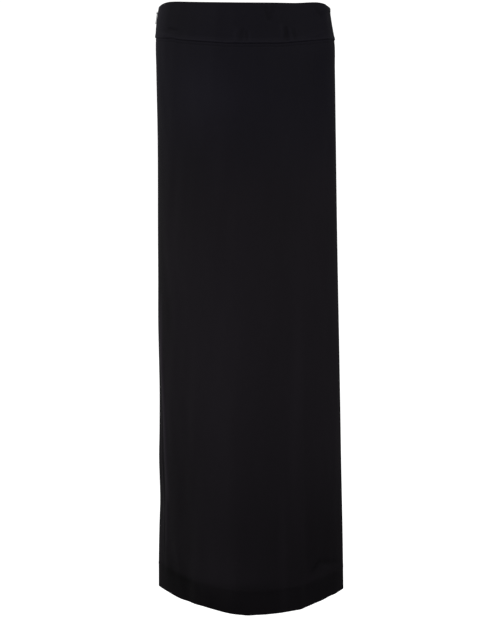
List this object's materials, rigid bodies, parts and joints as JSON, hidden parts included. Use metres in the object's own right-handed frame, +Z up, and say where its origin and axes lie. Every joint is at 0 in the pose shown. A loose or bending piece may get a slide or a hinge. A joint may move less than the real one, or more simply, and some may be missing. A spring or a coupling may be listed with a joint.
{
  "type": "maxi skirt",
  "caption": "Long straight skirt with a deep plain waistband, a turned-up hem and a concealed side zip, filled out as worn, open at the waist and hem.",
  "frame": {"origin": "middle of the waist's opening, level with the highest point of the waistband's top edge, where the wearer's waist holds the skirt up", "axes": "+Z up the skirt from hem to waist, -Y out of its front, +X across it towards the side seam without the zip"},
  "size_m": [0.3549, 0.2729, 1.1075],
  "materials": {
    "crepe": "matte heavy crepe, black",
    "zip_tape": "woven polyester tape, black",
    "zip_metal": "black enamel"
  },
  "bodies": {
    "skirt": {"waistband_front": "crepe", "waistband_back": "crepe", "front_panel": "crepe", "back_panel": "crepe", "zip_tape_front": "zip_tape", "zip_tape_back": "zip_tape", "zip_slider": "zip_metal"},
    "pull_tab": {"zip_pull": "zip_metal"}
  },
  "joints": [
    {"name": "pull_tab_swing", "type": "hinge", "parent": "skirt", "child": "pull_tab", "pos_m": [-0.15215, 0, -0.0217], "axis": [0, 1, 0], "range_deg": [0, 165]}
  ]
}
